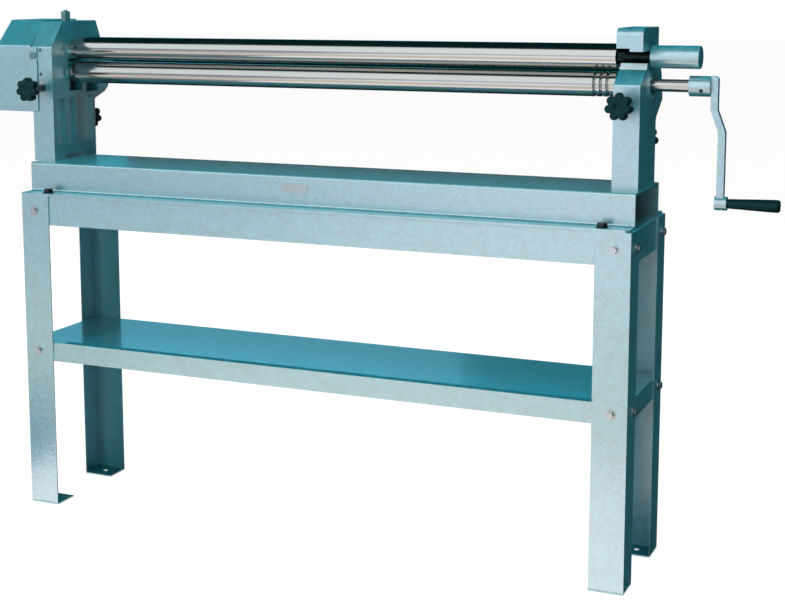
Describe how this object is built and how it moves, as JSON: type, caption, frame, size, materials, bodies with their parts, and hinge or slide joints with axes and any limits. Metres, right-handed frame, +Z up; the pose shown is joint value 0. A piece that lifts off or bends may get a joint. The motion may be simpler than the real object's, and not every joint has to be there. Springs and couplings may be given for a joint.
{
  "type": "slip roll machine",
  "caption": "Hand-cranked slip roll for bending sheet metal, with three rolls between cast heads on a hollow bed and a bolted sheet-steel stand with a shelf",
  "frame": {"origin": "on the floor under the middle of the stand, halfway between the legs in X and Y", "axes": "+X along the rolls towards the crank, +Y from the operator's side to the rear, +Z up"},
  "size_m": [1.7666, 0.3082, 1.132],
  "materials": {
    "stand_paint": "pale blue-grey hammered enamel",
    "machine_paint": "pale blue-grey hammered enamel on castings and sheet",
    "screw_paint": "deep teal enamel brushed over screws and nuts",
    "polished_steel": "ground and polished steel",
    "zinc_steel": "bright zinc-plated steel",
    "dark_steel": "black-oxide steel",
    "cast_block": "machined cast iron",
    "bronze": "plain bearing bronze",
    "black_plastic": "black moulded plastic",
    "plate_metal": "blank satin aluminium plate"
  },
  "bodies": {
    "root": {"leg_front_left": "stand_paint", "leg_front_right": "stand_paint", "leg_back_left": "stand_paint", "leg_back_right": "stand_paint", "stand_top": "stand_paint", "shelf": "stand_paint", "stand_bolts": "zinc_steel", "stand_nuts": "zinc_steel", "bed": "machine_paint", "bed_bolts": "dark_steel", "bed_nuts": "zinc_steel", "head_bolts": "zinc_steel", "blank_plate": "plate_metal", "left_head": "machine_paint", "right_head": "machine_paint", "gear_cover": "machine_paint", "cover_screws": "screw_paint", "bearing_cap": "machine_paint", "cap_screws": "screw_paint", "top_bush": "polished_steel", "clamp_stud": "screw_paint", "rocker_pins": "dark_steel", "latch_pin": "dark_steel"},
    "top_roll": {"top_roll": "polished_steel", "top_gear": "cast_block", "top_key": "dark_steel", "top_gear_nut": "dark_steel", "lift_sleeve": "machine_paint"},
    "pinch_carrier": {"left_pinch_block": "cast_block", "right_pinch_block": "cast_block", "pinch_bushes": "polished_steel"},
    "pinch_roll": {"pinch_roll": "polished_steel", "pinch_gear": "cast_block", "pinch_key": "dark_steel", "pinch_gear_nut": "dark_steel", "crank_arm": "machine_paint", "crank_set_screw": "dark_steel", "grip_pin": "zinc_steel"},
    "grip": {"crank_grip": "black_plastic"},
    "left_wedge": {"left_pinch_wedge": "cast_block"},
    "right_wedge": {"right_pinch_wedge": "cast_block"},
    "left_front_knob": {"left_front_knob": "black_plastic", "left_front_screw": "dark_steel"},
    "right_front_knob": {"right_front_knob": "black_plastic", "right_front_screw": "dark_steel"},
    "rear_carrier": {"left_rocker": "cast_block", "right_rocker": "cast_block", "rocker_bushes": "polished_steel"},
    "bending_roll": {"bending_roll": "polished_steel"},
    "left_nut": {"left_rear_nut": "bronze"},
    "right_nut": {"right_rear_nut": "bronze"},
    "left_rear_knob": {"left_rear_knob": "black_plastic", "left_rear_screw": "dark_steel"},
    "right_rear_knob": {"right_rear_knob": "black_plastic", "right_rear_screw": "dark_steel"},
    "latch": {"latch": "machine_paint"}
  },
  "joints": [
    {"name": "pinch_roll_spin", "type": "hinge", "parent": "pinch_carrier", "child": "pinch_roll", "pos_m": [0, 0.0233, 0.9903], "axis": [1, 0, 0], "continuous": true},
    {"name": "top_roll_spin", "type": "hinge", "parent": "root", "child": "top_roll", "pos_m": [0, 0.0233, 1.046], "axis": [1, 0, 0], "continuous": true},
    {"name": "pinch_lift", "type": "slide", "parent": "root", "child": "pinch_carrier", "axis": [0, 0, 1], "range_m": [0, 0.005]},
    {"name": "grip_spin", "type": "hinge", "parent": "pinch_roll", "child": "grip", "pos_m": [0.8466, 0.0233, 0.7633], "axis": [1, 0, 0], "continuous": true},
    {"name": "left_front_knob_turn", "type": "hinge", "parent": "root", "child": "left_front_knob", "pos_m": [-0.6855, -0.1, 0.957], "axis": [0, 1, 0], "range_deg": [0, 900]},
    {"name": "right_front_knob_turn", "type": "hinge", "parent": "root", "child": "right_front_knob", "pos_m": [0.66455, -0.1, 0.957], "axis": [0, 1, 0], "range_deg": [0, 900]},
    {"name": "left_wedge_slide", "type": "slide", "parent": "root", "child": "left_wedge", "axis": [0, 1, 0], "range_m": [0, 0.015]},
    {"name": "right_wedge_slide", "type": "slide", "parent": "root", "child": "right_wedge", "axis": [0, 1, 0], "range_m": [0, 0.015]},
    {"name": "rear_roll_swing", "type": "hinge", "parent": "root", "child": "rear_carrier", "pos_m": [0, 0.045, 0.925], "axis": [1, 0, 0], "range_deg": [-12.8, 6.2]},
    {"name": "bending_roll_spin", "type": "hinge", "parent": "rear_carrier", "child": "bending_roll", "pos_m": [0, 0.086, 0.99277], "axis": [1, 0, 0], "continuous": true},
    {"name": "left_rear_knob_turn", "type": "hinge", "parent": "root", "child": "left_rear_knob", "pos_m": [-0.6855, 0.12, 0.878], "axis": [0, -1, 0], "range_deg": [-638.6, 309.3]},
    {"name": "right_rear_knob_turn", "type": "hinge", "parent": "root", "child": "right_rear_knob", "pos_m": [0.66455, 0.096, 0.878], "axis": [0, -1, 0], "range_deg": [-638.6, 309.3]},
    {"name": "left_nut_slide", "type": "slide", "parent": "root", "child": "left_nut", "axis": [0, 1, 0], "range_m": [-0.01064, 0.00516]},
    {"name": "right_nut_slide", "type": "slide", "parent": "root", "child": "right_nut", "axis": [0, 1, 0], "range_m": [-0.01064, 0.00516]},
    {"name": "latch_open", "type": "hinge", "parent": "root", "child": "latch", "pos_m": [0.66455, 0.071, 1.054], "axis": [-1, 0, 0], "range_deg": [0, 90]}
  ],
  "couplings": [
    {"joint": "top_roll_spin", "follows": "pinch_roll_spin", "ratio": -1},
    {"joint": "left_front_knob_turn", "follows": "pinch_lift", "rad_per_m": 3141.6},
    {"joint": "right_front_knob_turn", "follows": "pinch_lift", "rad_per_m": 3141.6},
    {"joint": "left_wedge_slide", "follows": "pinch_lift", "ratio": 3},
    {"joint": "right_wedge_slide", "follows": "pinch_lift", "ratio": 3},
    {"joint": "left_rear_knob_turn", "follows": "rear_roll_swing", "ratio": 49.89},
    {"joint": "right_rear_knob_turn", "follows": "rear_roll_swing", "ratio": 49.89},
    {"joint": "left_nut_slide", "follows": "rear_roll_swing", "m_per_rad": 0.04764},
    {"joint": "right_nut_slide", "follows": "rear_roll_swing", "m_per_rad": 0.04764}
  ]
}
